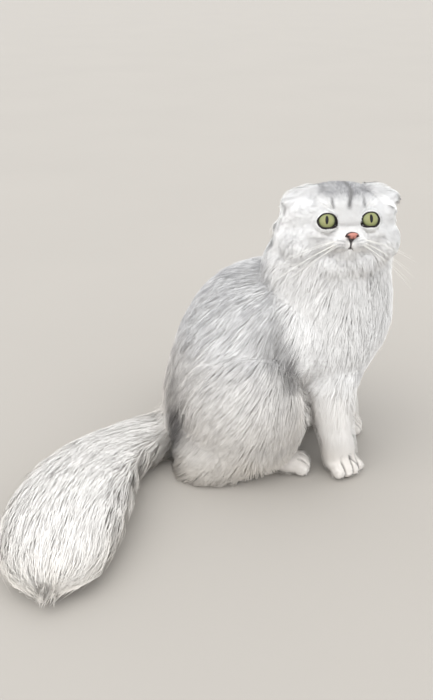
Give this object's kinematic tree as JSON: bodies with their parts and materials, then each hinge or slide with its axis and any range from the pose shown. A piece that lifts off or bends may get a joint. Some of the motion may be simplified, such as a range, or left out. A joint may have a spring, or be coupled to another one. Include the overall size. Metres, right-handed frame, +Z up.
{
  "type": "seated scottish fold cat",
  "caption": "Life-size still model of a seated longhaired cat with folded ears, its head turned to one side and its tail laid along the floor.",
  "frame": {"origin": "middle of the floor rectangle that holds the whole cat, on the floor", "axes": "+Z up; the seated body faces -Y, its left is +X, and the tail lies towards -X"},
  "size_m": [0.4414, 0.3544, 0.3142],
  "materials": {
    "white_coat": "long soft white fur",
    "silver_coat": "long white fur with silver-grey and dark tips",
    "eye": "green eye with an upright slit pupil under a clear cornea",
    "nose_leather": "brick-pink bare skin with a dark edge"
  },
  "bodies": {
    "root": {"head": "white_coat", "ear_left": "white_coat", "ear_right": "white_coat", "eye_left": "eye", "eye_right": "eye", "nose": "nose_leather", "neck": "white_coat", "chest": "white_coat", "trunk": "silver_coat", "foreleg_left": "white_coat", "foreleg_right": "white_coat", "forepaw_left": "white_coat", "forepaw_right": "white_coat", "hindleg_left": "silver_coat", "hindleg_right": "silver_coat", "hindpaw_left": "white_coat", "hindpaw_right": "white_coat", "tail_base": "white_coat", "tail_middle": "white_coat", "tail_tip": "white_coat"}
  },
  "joints": []
}
